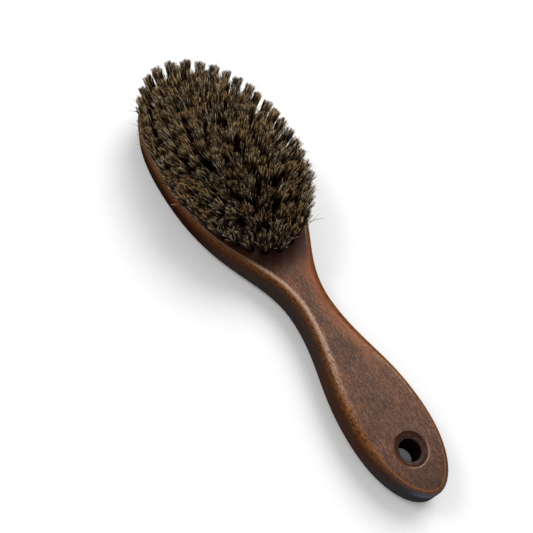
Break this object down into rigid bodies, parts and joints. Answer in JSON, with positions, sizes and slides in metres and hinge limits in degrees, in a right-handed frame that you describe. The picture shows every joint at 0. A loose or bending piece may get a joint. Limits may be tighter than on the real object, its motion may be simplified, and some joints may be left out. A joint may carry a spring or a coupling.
{
  "type": "clothes brush",
  "caption": "Wooden clothes brush: one-piece back with oval head, narrow neck and rounded handle with a hanging hole, filled with fanned tufts of natural bristle.",
  "frame": {"origin": "under the middle of the whole brush, on the flat back it lies on", "axes": "+X from the handle to the head, along the brush; +Y across the head; +Z from the back to the bristles"},
  "size_m": [0.2264, 0.0676, 0.0338],
  "materials": {
    "stained_beech": "satin walnut-brown stain and oil on beech",
    "natural_bristle": "natural boar bristle, khaki and black mixed, matt at the tips"
  },
  "bodies": {
    "root": {"border_tuft_01": "natural_bristle", "border_tuft_02": "natural_bristle", "border_tuft_03": "natural_bristle", "border_tuft_04": "natural_bristle", "border_tuft_05": "natural_bristle", "border_tuft_06": "natural_bristle", "border_tuft_07": "natural_bristle", "border_tuft_08": "natural_bristle", "border_tuft_09": "natural_bristle", "border_tuft_10": "natural_bristle", "border_tuft_11": "natural_bristle", "border_tuft_12": "natural_bristle", "border_tuft_13": "natural_bristle", "border_tuft_14": "natural_bristle", "border_tuft_15": "natural_bristle", "border_tuft_16": "natural_bristle", "border_tuft_17": "natural_bristle", "border_tuft_18": "natural_bristle", "border_tuft_19": "natural_bristle", "border_tuft_20": "natural_bristle", "border_tuft_21": "natural_bristle", "border_tuft_22": "natural_bristle", "border_tuft_23": "natural_bristle", "border_tuft_24": "natural_bristle", "border_tuft_25": "natural_bristle", "border_tuft_26": "natural_bristle", "border_tuft_27": "natural_bristle", "border_tuft_28": "natural_bristle", "border_tuft_29": "natural_bristle", "border_tuft_30": "natural_bristle", "border_tuft_31": "natural_bristle", "border_tuft_32": "natural_bristle", "border_tuft_33": "natural_bristle", "border_tuft_34": "natural_bristle", "border_tuft_35": "natural_bristle", "border_tuft_36": "natural_bristle", "border_tuft_37": "natural_bristle", "border_tuft_38": "natural_bristle", "border_tuft_39": "natural_bristle", "border_tuft_40": "natural_bristle", "brush_body": "stained_beech", "inner_row_01": "natural_bristle", "inner_row_02": "natural_bristle", "inner_row_03": "natural_bristle", "inner_row_04": "natural_bristle", "inner_row_05": "natural_bristle", "inner_row_06": "natural_bristle", "inner_row_07": "natural_bristle", "inner_row_08": "natural_bristle", "inner_row_09": "natural_bristle", "inner_row_10": "natural_bristle", "inner_row_11": "natural_bristle", "inner_row_12": "natural_bristle", "inner_row_13": "natural_bristle", "inner_row_14": "natural_bristle", "inner_row_15": "natural_bristle", "inner_row_16": "natural_bristle", "inner_row_17": "natural_bristle"}
  },
  "joints": []
}
